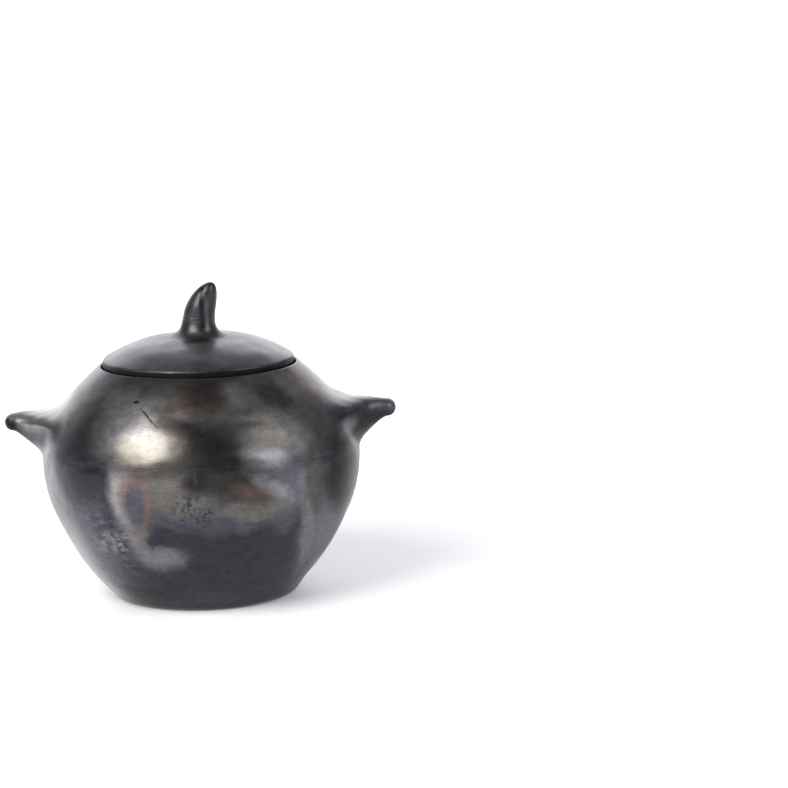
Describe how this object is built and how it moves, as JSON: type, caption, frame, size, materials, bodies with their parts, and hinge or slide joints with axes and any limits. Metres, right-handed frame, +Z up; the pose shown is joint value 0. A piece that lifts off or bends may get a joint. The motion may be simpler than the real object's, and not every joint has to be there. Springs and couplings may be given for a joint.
{
  "type": "lidded pot",
  "caption": "Round black clay storage pot with two horn lugs and a drop-in lid lifted by a curved stem.",
  "frame": {"origin": "centre of the flat underside, on the surface the pot stands on", "axes": "+Z up along the pot's axis, +X towards the right lug, -Y towards the side seen from the front"},
  "size_m": [0.269, 0.219, 0.2161],
  "materials": {
    "burnished_clay": "burnished, with a metallic sheen and fire clouds",
    "lid_clay": "satin",
    "inner_clay": "unburnished"
  },
  "bodies": {
    "pot": {"base_disc": "burnished_clay", "lower_bowl": "burnished_clay", "shoulder_wall": "burnished_clay", "mouth_rim": "burnished_clay", "lid_ledge": "inner_clay", "left_lug": "burnished_clay", "right_lug": "burnished_clay"},
    "lid": {"lid_dome": "lid_clay", "lid_stem": "lid_clay"}
  },
  "joints": [
    {"name": "lid_lift", "type": "slide", "parent": "pot", "child": "lid", "axis": [0, 0, 1], "range_m": [0, 0.12]}
  ]
}
